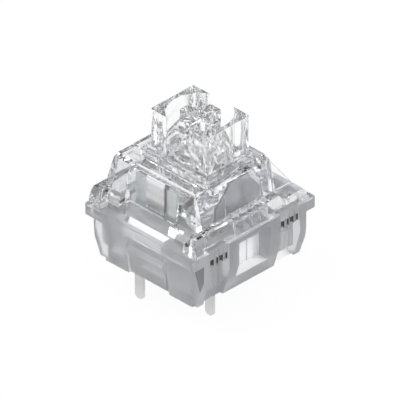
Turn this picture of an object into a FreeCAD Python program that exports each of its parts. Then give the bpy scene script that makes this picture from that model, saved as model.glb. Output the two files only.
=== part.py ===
import FreeCAD, Part
import math
import os
import re
import Sketcher

# Plate-mount keyboard switch, in millimetres.
# Origin: on the centre post's axis, at the face of the lower housing that lies on the circuit board.
# +Z points up to the keycap, -Y to the contacts and their solder pins, +Y to the light slot.

SIZES = [
    # lower housing
    ("body_size", 14.0, "square body that drops into the plate's hole"),
    ("flange_ledge", 0.8, "flange beyond the body on the two clip sides"),
    ("flange_thickness", 1.0, "flange that lies on the plate"),
    ("flange_corner", 0.4, "corner radius of the flange"),
    ("seat_height", 5.0, "flange underside above the board"),
    ("corner_cut_x", 0.82, "corner chamfer of the body along X"),
    ("corner_cut_y", 0.51, "corner chamfer of the body along Y"),
    ("side_taper_height", 3.3, "height where the latch sides start to taper"),
    ("side_draft", 0.95, "how far each latch side leans in at the board"),
    ("end_draft", 0.55, "how far each clip side leans in at the board"),
    ("foot_gap", 0.3, "clearance of the tab and pillars over the board"),
    ("recess_width", 10.94, "width across the recessed latch faces"),
    ("tab_width", 6.5, "middle tab on each latch side"),
    ("window_width", 4.0, "window in the tab"),
    ("window_sill", 1.8, "lower edge of the window"),
    ("pillar_width", 0.75, "corner pillar along Y"),
    ("window_top", 5.5, "upper edge of the window, inside the flange"),
    ("window_groove_width", 0.57, "upright grooves in the wall behind the window"),
    ("window_groove_depth", 0.15, "depth of those grooves"),
    ("window_groove_pitch", 1.33, "spacing of those grooves"),
    ("window_groove_middle", 0.25, "middle groove along Y"),
    ("cavity_width", 9.9, "inside of the lower housing along X"),
    ("cavity_length", 10.9, "inside of the lower housing along Y"),
    ("floor_thickness", 1.0, "floor of the lower housing"),
    ("clip_width", 4.5, "plate clip"),
    ("clip_slit", 0.3, "slit beside the plate clip"),
    ("clip_reach", 0.35, "how far the clip's nose stands out"),
    ("clip_nose_height", 3.0, "height of the clip's nose"),
    ("clip_nose_ramp", 1.0, "ramp below the clip's nose"),
    ("clip_nose_land", 0.5, "land above the clip's nose"),
    ("clip_slit_top", 4.7, "upper end of the clip's slits"),
    ("clip_slot_width", 5.1, "slot in the flange above the clip"),
    ("clip_slot_beyond", 0.2, "outer edge of that slot past the body's face"),
    ("clip_slot_within", 0.65, "inner edge of that slot inside the body's face"),
    ("rim_height", 1.0, "rim above the flange on the contact side"),
    ("rim_width", 10.3, "width of the rim"),
    ("rim_outer", 6.5, "outer face of the rim from the axis"),
    ("rim_slope_start", 0.15, "foot of the rim's middle slope behind its outer face"),
    ("guide_foot_width", 4.6, "stem guide wall below the flange's top"),
    ("guide_wall_width", 5.8, "stem guide wall above the flange"),
    ("guide_wall_straight", 8.4, "height where the guide wall starts to narrow"),
    ("guide_wall_top_width", 2.4, "stem guide wall at its top"),
    ("guide_wall_thickness", 0.22, "stem guide wall above the flange"),
    ("guide_wall_inner", 4.5, "inner face of the guide wall from the axis"),
    ("guide_wall_gap", 0.15, "gap between the guide wall and the roof"),
    ("guide_wall_crop", 0.5, "height of the guide wall's cropped corners"),
    ("guide_post_thickness", 0.5, "posts either side of a stem rail"),
    ("guide_post_reach", 0.55, "how far the posts stand in from the guide wall"),
    ("guide_post_top", 5.7, "top of the guide posts"),
    ("rail_gap", 0.1, "gap either side of a stem rail"),
    ("collar_radius", 1.85, "collar inside the foot of the spring"),
    ("collar_top", 2.8, "top of the collar"),
    ("bore_radius", 1.4, "blind bore for the stem's pole"),
    ("bore_bottom", -2.5, "bottom of that bore"),
    ("post_radius", 2.0, "centre post that locates in the board"),
    ("post_length", 3.0, "centre post below the board face"),
    ("post_rounding", 0.6, "rounded end of the post"),
    ("nub_width", 1.2, "latch nub"),
    ("nub_top", 4.8, "top face of the nub, which holds the latch leg"),
    ("nub_drop", 1.3, "height of the nub's ramp"),
    ("nub_reach", 0.65, "how far the nub stands out"),
    ("nub_lip", 0.25, "upright lip at the nub's tip"),
    ("pin_block_side", 0.45, "pin block beyond its pin along X"),
    ("pin_block_end", 0.4, "pin block beyond its pin along Y"),
    ("fixed_block_top", 3.0, "top of the block that holds the fixed terminal"),
    ("light_wall_y", 3.4, "wall between the stem and the light slot"),
    ("light_wall_thickness", 0.4, "thickness of that wall"),
    ("light_slot_width", 5.2, "light slot through floor and cover"),
    # upper housing
    ("housing_top", 11.6, "top face of the upper housing"),
    ("shoulder_height", 10.9, "height where the top edge starts to round"),
    ("top_width", 9.5, "flat top along X"),
    ("top_front", 5.45, "flat top on the contact side"),
    ("top_back", 3.4, "flat top on the light side"),
    ("shoulder_width", 10.4, "body at the shoulder along X"),
    ("shoulder_front", 5.75, "body at the shoulder on the contact side"),
    ("shoulder_back", 3.7, "body at the shoulder on the light side"),
    ("base_height", 7.0, "height of the body's foot"),
    ("base_width", 11.8, "body at its foot along X"),
    ("base_front", 6.5, "body at its foot on the contact side"),
    ("base_back", 3.9, "body at its foot on the light side"),
    ("roof_step_start", 3.7, "where the roof steps down towards the contact side"),
    ("roof_step_depth", 0.15, "height of that step"),
    ("roof_panel_width", 8.2, "shallow panel in the lower part of the roof"),
    ("roof_panel_start", 4.5, "near edge of that panel"),
    ("roof_panel_end", 5.2, "far edge of that panel"),
    ("roof_panel_depth", 0.12, "depth of that panel"),
    ("body_corner", 0.2, "chamfer of the body's upright corners"),
    ("skirt_corner", 0.15, "chamfer of the skirt's upright corners"),
    ("skirt_land", 0.3, "upright foot of the skirt"),
    ("ledge_land", 0.2, "upright foot of the ledge"),
    ("roof_thickness", 0.85, "roof over the stem's shoulder"),
    ("wall_thickness", 0.45, "side walls of the upper housing"),
    ("back_wall", 0.4, "wall towards the light slot at the shoulder"),
    ("front_recess_width", 6.34, "recess over the contacts"),
    ("side_recess_width", 4.6, "recess on each latch side"),
    ("side_recess_gap", 0.1, "recess face outside the shoulder's face"),
    ("side_recess_foot", 7.75, "lower end of the side recess"),
    ("skirt_side_inset", 0.15, "skirt inside the body's latch sides"),
    ("skirt_end_inset", 0.4, "skirt inside the flange's ends"),
    ("skirt_top", 7.95, "top of the skirt"),
    ("skirt_lean", 0.25, "how far the skirt leans in up to its rounded top edge"),
    ("skirt_edge_start", 7.45, "height where that rounded edge starts"),
    ("skirt_edge", 0.32, "width of that rounded edge"),
    ("skirt_pocket_start", 5.8, "inner face of the pockets under the skirt's latch sides"),
    ("skirt_pocket_end", 6.4, "outer face of those pockets"),
    ("skirt_pocket_top", 7.3, "top of those pockets"),
    ("skirt_pocket_length", 0.93, "length of each pocket"),
    ("skirt_pocket_pitch", 1.08, "spacing of those pockets"),
    ("ledge_top", 7.35, "top of the ledge over the light slot"),
    ("ledge_slope", 0.95, "how far the ledge leans in on the light side"),
    ("light_slot_length", 1.9, "light slot along Y"),
    ("light_slot_start", 4.15, "near edge of the light slot"),
    ("cheek_thickness", 0.4, "thin cheek either side of the light slot"),
    ("opening_gap", 0.15, "gap between the stem and its opening"),
    ("leg_width", 2.3, "latch leg along Y"),
    ("leg_thickness", 0.6, "latch leg along X"),
    ("leg_arm", 0.45, "arms either side of the leg's window"),
    ("leg_foot", 1.5, "lower end of the latch leg"),
    ("leg_gap", 0.08, "clearance round the latch leg"),
    ("leg_head_foot", 4.45, "foot of the leg's thicker head, flush with the skirt"),
    ("leg_notch_top", 5.2, "top of the notches in that head"),
    ("leg_notch_depth", 0.25, "depth of the notches"),
    ("leg_notch_start", 0.08, "first notch from the head's edge"),
    ("leg_notch_wide", 0.44, "wide notch"),
    ("leg_notch_offset", 0.78, "narrow notch from the start of the wide one beside it"),
    ("leg_notch_narrow", 0.2, "narrow notch"),
    ("leg_notch_pitch", 1.16, "spacing of the two pairs of notches"),
    ("leg_groove_width", 0.22, "upright grooves in the leg's outer face"),
    ("leg_groove_depth", 0.08, "depth of those grooves"),
    ("leg_groove_pitch", 0.56, "spacing of those grooves"),
    # stem
    ("stem_width", 7.14, "stem across its two dust walls"),
    ("stem_length", 5.49, "stem along the dust walls"),
    ("wall_top", 15.45, "top of the dust walls"),
    ("cross_top", 15.24, "top of the cross"),
    ("cross_span", 4.0, "arms of the cross, tip to tip"),
    ("cross_bar_x", 1.17, "thickness of the arm that runs along X"),
    ("cross_bar_y", 1.31, "thickness of the arm that runs along Y"),
    ("cross_edge", 0.15, "chamfer on top of the cross"),
    ("cross_foot_radius", 2.3, "round foot of the cross"),
    ("cross_foot_top", 11.25, "top of that foot"),
    ("cross_dimple_radius", 0.6, "dimple in the middle of the cross"),
    ("cross_dimple_depth", 0.2, "depth of that dimple"),
    ("well_radius", 3.1, "round well between the dust walls"),
    ("wall_edge", 0.15, "chamfer of the dust walls' upright corners"),
    ("shoulder_gap", 0.05, "gap between the shoulder and the roof"),
    ("shoulder_span_x", 8.8, "stem shoulder along X"),
    ("shoulder_span_y", 6.2, "stem shoulder along Y"),
    ("shoulder_depth", 0.8, "height of the shoulder"),
    ("barrel_width", 6.0, "stem below its shoulder along X"),
    ("barrel_length", 4.6, "stem below its shoulder along Y"),
    ("barrel_foot", 7.4, "lower end of the barrel"),
    ("spring_pocket_radius", 2.25, "pocket for the spring"),
    ("spring_seat", 9.6, "top of the spring pocket"),
    ("pole_radius", 1.2, "centre pole"),
    ("pole_foot", 1.7, "lower end of the pole"),
    ("pole_rounding", 0.4, "rounded end of the pole"),
    ("rail_width", 1.8, "rails at the latch sides"),
    ("rail_foot", 5.2, "lower end of the rails"),
    ("cam_offset", 2.2, "middle of each cam leg from the axis"),
    ("cam_width", 0.8, "cam leg along X"),
    ("cam_foot", 6.9, "lower end of the cam legs"),
    ("cam_lobe", 3.28, "lobe of the cam leg from the axis"),
    ("cam_lobe_top", 8.6, "top of the lobe"),
    ("cam_relief", 3.0, "relieved face of the cam leg from the axis"),
    ("cam_slope", 0.7, "height of the slope above the lobe"),
    ("cam_tip", 0.2, "chamfer at the foot of the cam leg"),
    # return spring
    ("wire_radius", 0.12, "spring wire"),
    ("wire_flats", 8.0, "flats round the wire"),
    ("coil_radius", 2.06, "spring's mean radius"),
    ("coil_turns", 7.5, "turns between the closed ends"),
    # terminals and contacts
    ("sheet_thickness", 0.3, "terminal sheet"),
    ("pin_width", 1.0, "solder pins"),
    ("pin_length", 3.3, "solder pins below the board face"),
    ("pin_tip", 0.4, "rounding of the pins' tips"),
    ("pin_hole_gap", 0.05, "clearance of the pins in the floor"),
    ("fixed_pin_x", 3.81, "pin of the fixed terminal"),
    ("fixed_pin_y", -2.54, "pin of the fixed terminal"),
    ("fixed_rise", 4.4, "top of the fixed terminal's upright"),
    ("fixed_arm_y", -3.66, "middle plane of the fixed contact arm"),
    ("fixed_arm_low", 3.4, "lower edge of the arm at its bend"),
    ("fixed_arm_high", 4.9, "upper edge of the arm at its bend"),
    ("fixed_arm_end", 0.75, "far end of the arm past the axis"),
    ("fixed_arm_taper", 1.0, "length over which the arm narrows to its contact end"),
    ("fixed_head_low", 4.6, "lower edge of the arm's contact end"),
    ("fixed_head_high", 6.4, "top of the arm's contact end"),
    ("leaf_pin_x", -2.54, "pin of the leaf terminal"),
    ("leaf_pin_y", -5.08, "pin of the leaf terminal"),
    ("leaf_plate_y", -4.77, "middle plane of the leaf terminal's plate"),
    ("leaf_plate_right", 1.0, "right edge of that plate"),
    ("leaf_plate_top", 9.85, "top of that plate"),
    ("leaf_joggle", 1.5, "height where the plate steps out to its pin"),
    ("leaf_joggle_rise", 0.35, "rise of that step"),
    ("leaf_thickness", 0.12, "spring leaf"),
    ("leaf_width", 2.2, "spring leaf"),
    ("leaf_middle", -0.3, "middle of the leaf along X"),
    ("leaf_fold_height", 10.15, "centre of the leaf's fold"),
    ("leaf_fold_radius", 0.35, "middle radius of the leaf's fold"),
    ("leaf_outer_foot", 7.1, "lower end of the leaf's outer leg"),
    ("leaf_arm_foot", 4.7, "lower end of the leaf's free arm"),
    ("ear_low", 7.4, "lower edge of the ears"),
    ("ear_high", 8.4, "upper edge of the ears"),
    ("ear_gap", 0.07, "gap between the ears and the cam legs"),
    ("contact_height", 5.6, "height of the contact bars"),
    ("contact_length", 1.0, "contact bars"),
    ("contact_size", 0.2, "section of the contact bars"),
]

doc = FreeCAD.newDocument("keyboard_switch")
sheet = doc.addObject("Spreadsheet::Sheet", "sizes")
for row, (alias, number, meaning) in enumerate(SIZES, start=1):
    sheet.set("A%d" % row, meaning)
    sheet.set("B%d" % row, str(number))
    sheet.setAlias("B%d" % row, alias)
doc.recompute()

ALIASES = {alias for alias, number, meaning in SIZES}
PLANES = {
    "XY": (FreeCAD.Rotation(), "z", FreeCAD.Vector(0, 0, 1)),
    "XZ": (FreeCAD.Rotation(FreeCAD.Vector(1, 0, 0), 90), "y", FreeCAD.Vector(0, 1, 0)),
    "YZ": (FreeCAD.Rotation(FreeCAD.Vector(1, 1, 1), 120), "x", FreeCAD.Vector(1, 0, 0)),
}


def linked(formula):
    """The formula with each size written as a reference to the sheet."""
    return re.sub(r"[a-z_]+", lambda word: "sizes." * (word.group() in ALIASES) + word.group(), formula)


def value(formula):
    return float(sheet.evalExpression(linked(formula)))


def bind(item, prop, formula):
    item.setExpression(prop, linked(formula))


def place(item, x, y, z):
    for axis, formula in (("x", x), ("y", y), ("z", z)):
        bind(item, "Placement.Base." + axis, formula)
    return item


def box(name, x, y, z):
    """A block between a low and a high formula on each axis."""
    item = doc.addObject("Part::Box", name)
    for prop, (low, high) in (("Length", x), ("Width", y), ("Height", z)):
        bind(item, prop, "(%s) - (%s)" % (high, low))
    return place(item, x[0], y[0], z[0])


def cylinder(name, radius, z, x="0", y="0"):
    item = doc.addObject("Part::Cylinder", name)
    bind(item, "Radius", radius)
    bind(item, "Height", "(%s) - (%s)" % (z[1], z[0]))
    return place(item, x, y, z[0])


def outline(name, plane, start, corners):
    """A closed sketch whose corners are held by sizes."""
    rotation, axis, direction = PLANES[plane]
    sketch = doc.addObject("Sketcher::SketchObject", name)
    sketch.Placement = FreeCAD.Placement(FreeCAD.Vector(), rotation)
    bind(sketch, "Placement.Base." + axis, start)
    points = [FreeCAD.Vector(value(across), value(up), 0) for across, up in corners]
    count = len(points)
    for index in range(count):
        sketch.addGeometry(Part.LineSegment(points[index], points[(index + 1) % count]), False)
    for index in range(count):
        sketch.addConstraint(Sketcher.Constraint("Coincident", index, 2, (index + 1) % count, 1))
    for index, formulas in enumerate(corners):
        for kind, line, formula, now in (("DistanceX", -2, formulas[0], points[index].x),
                                         ("DistanceY", -1, formulas[1], points[index].y)):
            if formula == "0":
                sketch.addConstraint(Sketcher.Constraint("PointOnObject", index, 1, line))
            else:
                number = sketch.addConstraint(Sketcher.Constraint(kind, index, 1, now))
                bind(sketch, "Constraints[%d]" % number, formula)
    return sketch


def prism(name, plane, span, corners):
    """An outline drawn in a plane and extruded between two formulas along the third axis."""
    item = doc.addObject("Part::Extrusion", name)
    item.Base = outline(name + "_outline", plane, span[0], corners)
    item.DirMode = "Custom"
    item.Dir = PLANES[plane][2]
    bind(item, "LengthFwd", "(%s) - (%s)" % (span[1], span[0]))
    item.Solid = True
    return item


def fuse(name, *items):
    item = doc.addObject("Part::MultiFuse", name)
    item.Shapes = list(items)
    item.Refine = True
    return item


def common(name, *items):
    item = doc.addObject("Part::MultiCommon", name)
    item.Shapes = list(items)
    item.Refine = True
    return item


def cut(name, base, *tools):
    item = doc.addObject("Part::Cut", name)
    item.Base = base
    item.Tool = tools[0] if len(tools) == 1 else fuse(name + "_tools", *tools)
    item.Refine = True
    return item


def mirrored(name, source, normal):
    item = doc.addObject("Part::Mirroring", name)
    item.Source = source
    item.Normal = normal
    return item


def both_sides(name, source, normal):
    return fuse(name, source, mirrored(name + "_mirror", source, normal))


def four_corners(name, source):
    pair = both_sides(name + "_pair", source, FreeCAD.Vector(0, 1, 0))
    return both_sides(name, pair, FreeCAD.Vector(1, 0, 0))


def rounded(name, base, radius, chosen):
    """Fillets on the edges of a recomputed base for which chosen(edge) is true."""
    doc.recompute()
    item = doc.addObject("Part::Fillet", name)
    item.Base = base
    item.Edges = [(number, value(radius), value(radius))
                  for number, edge in enumerate(base.Shape.Edges, start=1) if chosen(edge)]
    return item


def eased(name, base, depth, chosen):
    """Chamfers on the edges of a recomputed base for which chosen(edge) is true."""
    doc.recompute()
    item = doc.addObject("Part::Chamfer", name)
    item.Base = base
    item.Edges = [(number, value(depth), value(depth))
                  for number, edge in enumerate(base.Shape.Edges, start=1) if chosen(edge)]
    return item


def upright(edge):
    extent = edge.BoundBox
    return extent.XLength < 0.001 and extent.YLength < 0.001


def rect(half_x, half_y):
    """Corners of a rectangle centred on the axis, from its two half sizes."""
    return [("-(%s)" % half_x, "-(%s)" % half_y), (half_x, "-(%s)" % half_y),
            (half_x, half_y), ("-(%s)" % half_x, half_y)]


def chamfered(low_x, high_x, low_y, high_y, cut_x, cut_y):
    """Corners of a rectangle whose four corners are cut off."""
    return [("%s + %s" % (low_x, cut_x), low_y), ("%s - %s" % (high_x, cut_x), low_y),
            (high_x, "%s + %s" % (low_y, cut_y)), (high_x, "%s - %s" % (high_y, cut_y)),
            ("%s - %s" % (high_x, cut_x), high_y), ("%s + %s" % (low_x, cut_x), high_y),
            (low_x, "%s - %s" % (high_y, cut_y)), (low_x, "%s + %s" % (low_y, cut_y))]


FLANGE_TOP = "seat_height + flange_thickness"
RECESS = "recess_width / 2"
TAB = "tab_width / 2"
BODY = "body_size / 2"
FLANGE_END = "(body_size / 2 + flange_ledge)"
SKIRT_SIDE = "(body_size / 2 - skirt_side_inset)"
SKIRT_END = "(body_size / 2 + flange_ledge - skirt_end_inset)"
ROOF = "(housing_top - roof_thickness)"
SHOULDER = "(housing_top - roof_thickness - shoulder_gap)"
# A cut runs this far past the face it opens, and a fused form this far into what carries it.
PAST = "1"
INTO = "0.1"
REACH = "body_size"
X_AXIS = FreeCAD.Vector(1, 0, 0)
Y_AXIS = FreeCAD.Vector(0, 1, 0)


# Lower housing: a chamfered square body, tapered on all four sides below the plate, under a flange.
# The latch sides are cut back between the corner pillars and a windowed middle tab.

def plate_clip():
    """The springy clip on one end face: its nose, side slits and the slot in the flange above."""
    half = "clip_width / 2"
    foot_face = "-(%s - end_draft)" % BODY
    face = "-(%s - end_draft * (1 - clip_nose_height / seat_height))" % BODY
    nose = prism("clip_nose", "YZ", ("-" + half, half), [
        (face + " + clip_slit", "clip_nose_height + clip_nose_land"),
        (face, "clip_nose_height + clip_nose_land"),
        (face + " - clip_reach", "clip_nose_height"),
        (face + " + " + INTO, "clip_nose_height - clip_nose_ramp"),
        (face + " + clip_slit", "clip_nose_height - clip_nose_ramp")])
    slit = box("clip_slit_cut", (half, half + " + clip_slit"),
               ("-%s - %s" % (BODY, PAST), foot_face + " + clip_slit"), ("-" + PAST, "clip_slit_top"))
    foot = box("clip_foot_cut", ("-" + half, half),
               ("-%s - %s" % (BODY, PAST), foot_face + " + foot_gap"), ("-" + PAST, "foot_gap"))
    outer, inner = "-(%s + clip_slot_beyond)" % BODY, "-(%s - clip_slot_within)" % BODY
    slot = prism("clip_slot", "YZ", ("-clip_slot_width / 2", "clip_slot_width / 2"), [
        (outer, "seat_height - " + INTO),
        ("-" + BODY, "seat_height - " + INTO),
        (inner, FLANGE_TOP),
        (inner, FLANGE_TOP + " + " + INTO),
        (outer, FLANGE_TOP + " + " + INTO)])
    cuts = fuse("clip_cuts", both_sides("clip_slits", slit, X_AXIS), foot, slot)
    return both_sides("clip_noses", nose, Y_AXIS), both_sides("clip_openings", cuts, Y_AXIS)


def lower_outside():
    """The outer form below and at the flange."""
    half, foot, end_foot = BODY, "(%s - side_draft)" % BODY, "(%s - end_draft)" % BODY
    plan = prism("body_plan", "XY", ("0", "seat_height"),
                 chamfered("-" + half, half, "-" + half, half, "corner_cut_x", "corner_cut_y"))
    sides = prism("body_sides", "XZ", ("-" + REACH, REACH), [
        ("-" + foot, "0"), (foot, "0"), (half, "side_taper_height"), (half, "seat_height"),
        ("-" + half, "seat_height"), ("-" + half, "side_taper_height")])
    ends = prism("body_ends", "YZ", ("-" + REACH, REACH), [
        ("-" + end_foot, "0"), (end_foot, "0"), (half, "seat_height"), ("-" + half, "seat_height")])
    flange = prism("flange_plate", "XY", ("seat_height", FLANGE_TOP), rect(half, FLANGE_END))
    flange = rounded("flange_rounded", flange, "flange_corner", upright)
    return fuse("lower_block", common("tapered_body", plan, sides, ends), flange)


def latch_sides():
    """What is cut from each latch side: a recess on each side of the tab, the tab's window, the grooves
    behind it and the foot gap."""
    pillar = BODY + " - corner_cut_y - pillar_width"
    recess = box("latch_recess", (RECESS, REACH), (TAB, pillar), ("-" + PAST, "%s + %s" % (FLANGE_TOP, PAST)))
    window = box("tab_window", (RECESS, REACH), ("-window_width / 2", "window_width / 2"),
                 ("window_sill", "window_top"))
    grooves = []
    for index in (-1, 0, 1):
        middle = "window_groove_middle + %d * window_groove_pitch" % index
        across = (RECESS + " - window_groove_depth", RECESS + " + " + INTO)
        along = (middle + " - window_groove_width / 2", middle + " + window_groove_width / 2")
        grooves.append(box("window_groove_%d" % (index + 2), across, along, ("window_sill", "window_top")))
    gap = box("side_foot_gap", (RECESS, REACH), ("-" + REACH, REACH), ("-" + PAST, "foot_gap"))
    side = fuse("latch_cut", both_sides("latch_recesses", recess, Y_AXIS), window, gap, *grooves)
    return both_sides("latch_cuts", side, X_AXIS)


def latch_nubs():
    """Four wedges that the cover's legs snap over."""
    middle = "(tab_width / 2 + leg_gap + leg_width / 2)"
    nub = prism("latch_nub", "XZ", (middle + " - nub_width / 2", middle + " + nub_width / 2"), [
        ("%s - %s" % (RECESS, INTO), "nub_top - nub_drop"), (RECESS, "nub_top - nub_drop"),
        (RECESS + " + nub_reach", "nub_top - nub_lip"), (RECESS + " + nub_reach", "nub_top"),
        ("%s - %s" % (RECESS, INTO), "nub_top")])
    return four_corners("latch_nub_set", nub)


def contact_rim():
    """The frosted rim that stands up on the contact side, lower and set back behind the clip."""
    inner = "cavity_length / 2"
    block = prism("rim_block", "YZ", ("-rim_width / 2", "rim_width / 2"), [
        ("-rim_outer", FLANGE_TOP), ("-" + inner, FLANGE_TOP), ("-" + inner, FLANGE_TOP + " + rim_height"),
        ("-rim_outer", FLANGE_TOP + " + rim_height")])
    slope = prism("rim_slope", "YZ", ("-front_recess_width / 2", "front_recess_width / 2"), [
        ("-rim_outer - " + INTO, FLANGE_TOP), ("-(rim_outer - rim_slope_start)", FLANGE_TOP),
        ("-shoulder_front", FLANGE_TOP + " + rim_height"),
        ("-shoulder_front", "%s + rim_height + %s" % (FLANGE_TOP, INTO)),
        ("-rim_outer - " + INTO, "%s + rim_height + %s" % (FLANGE_TOP, INTO))])
    return cut("rim", block, slope)


def stem_guides():
    """On each latch side, a wall with cropped upper corners and the two posts that guide a stem rail."""
    base, wide, top = "guide_foot_width / 2", "guide_wall_width / 2", "guide_wall_top_width / 2"
    height = ROOF + " - guide_wall_gap"
    crop = "%s + guide_wall_crop / 2" % top
    wall = prism("guide_wall", "YZ", ("guide_wall_inner", "guide_wall_inner + guide_wall_thickness"), [
        ("-" + base, "floor_thickness"), (base, "floor_thickness"), (base, FLANGE_TOP), (wide, FLANGE_TOP),
        (wide, "guide_wall_straight"), (crop, height + " - guide_wall_crop"), (top, height),
        ("-" + top, height), ("-(%s)" % crop, height + " - guide_wall_crop"),
        ("-" + wide, "guide_wall_straight"), ("-" + wide, FLANGE_TOP), ("-" + base, FLANGE_TOP)])
    backing = box("guide_backing", ("guide_wall_inner", "cavity_width / 2 + " + INTO), ("-" + base, base),
                  ("floor_thickness - " + INTO, FLANGE_TOP))
    post = box("guide_post", ("guide_wall_inner - guide_post_reach", "guide_wall_inner + " + INTO),
               ("rail_width / 2 + rail_gap", "rail_width / 2 + rail_gap + guide_post_thickness"),
               ("floor_thickness - " + INTO, "guide_post_top"))
    side = fuse("guide_side", wall, backing, both_sides("guide_posts", post, Y_AXIS))
    return both_sides("guides", side, X_AXIS)


def pin_block(name, x, y, top):
    """A block on the floor that holds a terminal upright."""
    return box(name, (x + " - pin_width / 2 - pin_block_side", x + " + pin_width / 2 + pin_block_side"),
               (y + " - sheet_thickness / 2 - pin_block_end", y + " + sheet_thickness / 2 + pin_block_end"),
               ("floor_thickness - " + INTO, top))


def pin_hole(name, x, y):
    return box(name, (x + " - pin_width / 2 - pin_hole_gap", x + " + pin_width / 2 + pin_hole_gap"),
               (y + " - sheet_thickness / 2 - pin_hole_gap", y + " + sheet_thickness / 2 + pin_hole_gap"),
               ("-" + PAST, FLANGE_TOP))


def lower_housing():
    noses, clip_openings = plate_clip()
    cavity = box("lower_cavity", ("-cavity_width / 2", "cavity_width / 2"),
                 ("-cavity_length / 2", "cavity_length / 2"),
                 ("floor_thickness", "%s + %s" % (FLANGE_TOP, PAST)))
    shell = cut("lower_shell", lower_outside(), latch_sides(), clip_openings, cavity)
    post = cylinder("centre_post", "post_radius", ("-post_length", "floor_thickness"))
    middle = value("-post_length / 2")
    post = rounded("centre_post_end", post, "post_rounding", lambda edge: edge.BoundBox.ZMax < middle)
    collar = cylinder("spring_collar", "collar_radius", ("floor_thickness - " + INTO, "collar_top"))
    light_wall = box("light_wall", ("-cavity_width / 2 - " + INTO, "cavity_width / 2 + " + INTO),
                     ("light_wall_y", "light_wall_y + light_wall_thickness"),
                     ("floor_thickness - " + INTO, FLANGE_TOP))
    blocks = fuse("pin_blocks", pin_block("fixed_pin_block", "fixed_pin_x", "fixed_pin_y", "fixed_block_top"),
                  pin_block("leaf_pin_block", "leaf_pin_x", "leaf_pin_y", "leaf_joggle - pin_hole_gap"))
    solid = fuse("lower_solid", shell, noses, latch_nubs(), contact_rim(), stem_guides(), post, collar,
                 light_wall, blocks)
    bore = cylinder("pole_bore", "bore_radius", ("bore_bottom", "collar_top + " + PAST))
    light_slot = box("lower_light_slot", ("-light_slot_width / 2", "light_slot_width / 2"),
                     ("light_slot_start", "cavity_length / 2"), ("-" + PAST, "floor_thickness + " + INTO))
    return cut("lower_housing", solid, bore, light_slot,
               pin_hole("fixed_pin_hole", "fixed_pin_x", "fixed_pin_y"),
               pin_hole("leaf_pin_hole", "leaf_pin_x", "leaf_pin_y"))


# Upper housing: a tapered body with rounded shoulders on a wider skirt, hollow below, with four latch legs.

def upper_body():
    half_foot, half_top = "base_width / 2", "top_width / 2"
    half_shoulder = "shoulder_width / 2"
    round_x = "(%s * 0.3 + %s * 0.7)" % (half_top, half_shoulder)
    round_z = "(housing_top * 0.5 + shoulder_height * 0.5)"
    sides = prism("upper_sides", "XZ", ("-" + REACH, REACH), [
        ("-" + half_foot, FLANGE_TOP), (half_foot, FLANGE_TOP), (half_foot, "base_height"),
        (half_shoulder, "shoulder_height"), (round_x, round_z), (half_top, "housing_top"),
        ("-" + half_top, "housing_top"), ("-" + round_x, round_z), ("-" + half_shoulder, "shoulder_height"),
        ("-" + half_foot, "base_height")])
    front_round = "(top_front * 0.3 + shoulder_front * 0.7)"
    back_round = "(top_back * 0.3 + shoulder_back * 0.7)"
    ends = prism("upper_ends", "YZ", ("-" + REACH, REACH), [
        ("-base_front", FLANGE_TOP), ("base_back", FLANGE_TOP), ("base_back", "base_height"),
        ("shoulder_back", "shoulder_height"), (back_round, round_z), ("top_back", "housing_top"),
        ("-top_front", "housing_top"), ("-" + front_round, round_z), ("-shoulder_front", "shoulder_height"),
        ("-base_front", "base_height")])
    plan = prism("upper_plan", "XY", (FLANGE_TOP, "housing_top"), chamfered(
        "-" + half_foot, half_foot, "-base_front", "base_back", "body_corner", "body_corner"))
    return common("upper_body", sides, ends, plan)


def upper_skirt():
    half, end = SKIRT_SIDE, SKIRT_END
    land, middle = FLANGE_TOP + " + skirt_land", "skirt_edge_start * 0.25 + skirt_top * 0.75"
    plan = prism("skirt_plan", "XY", (FLANGE_TOP, "skirt_top"),
                 chamfered("-" + half, half, "-" + end, end, "skirt_corner", "skirt_corner"))
    sides = prism("skirt_sides", "XZ", ("-" + REACH, REACH), [
        ("-" + half, FLANGE_TOP), (half, FLANGE_TOP), (half, land),
        (half + " - skirt_lean", "skirt_edge_start"), (half + " - skirt_lean - skirt_edge * 0.4", middle),
        (half + " - skirt_lean - skirt_edge", "skirt_top"),
        ("-%s + skirt_lean + skirt_edge" % half, "skirt_top"),
        ("-%s + skirt_lean + skirt_edge * 0.4" % half, middle),
        ("-%s + skirt_lean" % half, "skirt_edge_start"), ("-" + half, land)])
    ends = prism("skirt_ends", "YZ", ("-" + REACH, REACH), [
        ("-" + end, FLANGE_TOP), (end, FLANGE_TOP), (end, FLANGE_TOP + " + ledge_land"),
        (end + " - ledge_slope", "ledge_top"), ("base_back", "ledge_top"),
        ("base_back - wall_thickness", "skirt_top"), ("-%s + skirt_lean + skirt_edge" % end, "skirt_top"),
        ("-%s + skirt_lean + skirt_edge * 0.4" % end, middle),
        ("-%s + skirt_lean" % end, "skirt_edge_start"), ("-" + end, land)])
    return common("upper_skirt", plan, sides, ends)


def light_cheeks():
    """Thin cheeks that run from the body down to the ledge beside the light slot."""
    root, tip = "shoulder_back - cheek_thickness", "(%s - ledge_slope - %s)" % (SKIRT_END, INTO)
    cheek = prism("light_cheek", "YZ", ("shoulder_width / 2 - cheek_thickness", "shoulder_width / 2"), [
        (root, "ledge_top - " + INTO), (tip, "ledge_top - " + INTO), (tip, "ledge_top + " + INTO),
        ("shoulder_back", "shoulder_height"), (root, "shoulder_height")])
    return both_sides("light_cheeks", cheek, X_AXIS)


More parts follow.
